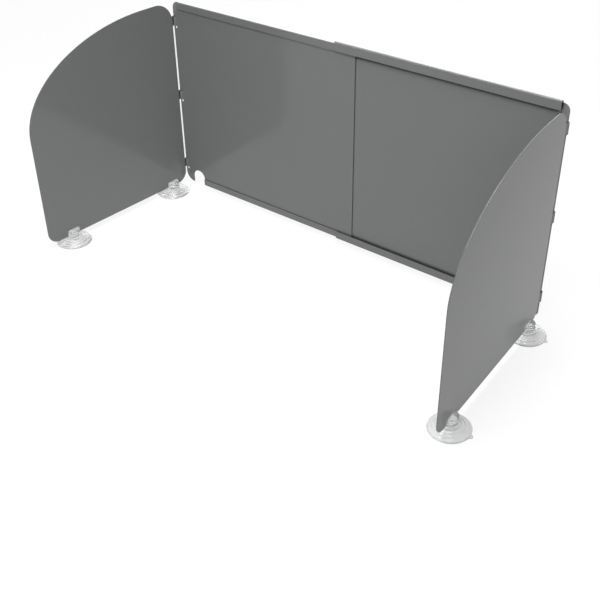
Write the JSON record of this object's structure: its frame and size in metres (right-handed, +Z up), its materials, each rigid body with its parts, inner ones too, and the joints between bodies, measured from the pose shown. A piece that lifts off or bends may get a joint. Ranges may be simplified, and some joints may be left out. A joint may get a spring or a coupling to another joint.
{
  "type": "stove windscreen",
  "caption": "Free-standing stove windscreen in grey sheet metal: rear panels that slide in each other, hinged side wings with swept tops and clear suction-cup feet.",
  "frame": {"origin": "on the table, at the middle of the drawn-out screen's box", "axes": "+X to the right along the rear wall, +Y to the back, +Z up"},
  "size_m": [0.6033, 0.2362, 0.2615],
  "materials": {
    "powder_coat": "satin grey powder coat on sheet steel",
    "clear_pvc": "clear soft moulded plastic"
  },
  "bodies": {
    "rear_outer": {"outer_panel": "powder_coat"},
    "rear_inner": {"inner_panel": "powder_coat"},
    "wing_left": {"left_wing": "powder_coat", "left_front_cup": "clear_pvc", "left_rear_cup": "clear_pvc"},
    "wing_right": {"right_wing": "powder_coat", "right_front_cup": "clear_pvc", "right_rear_cup": "clear_pvc"}
  },
  "joints": [
    {"name": "panel_slide", "type": "slide", "parent": "rear_outer", "child": "rear_inner", "axis": [1, 0, 0], "range_m": [0, 0.247]},
    {"name": "left_hinge", "type": "hinge", "parent": "rear_inner", "child": "wing_left", "pos_m": [-0.2658, 0.11446, 0.1345], "axis": [0, 0, 1], "range_deg": [-87.5, 67.5]},
    {"name": "right_hinge", "type": "hinge", "parent": "rear_outer", "child": "wing_right", "pos_m": [0.2658, 0.11556, 0.1345], "axis": [0, 0, 1], "range_deg": [-32.5, 87.5]}
  ]
}
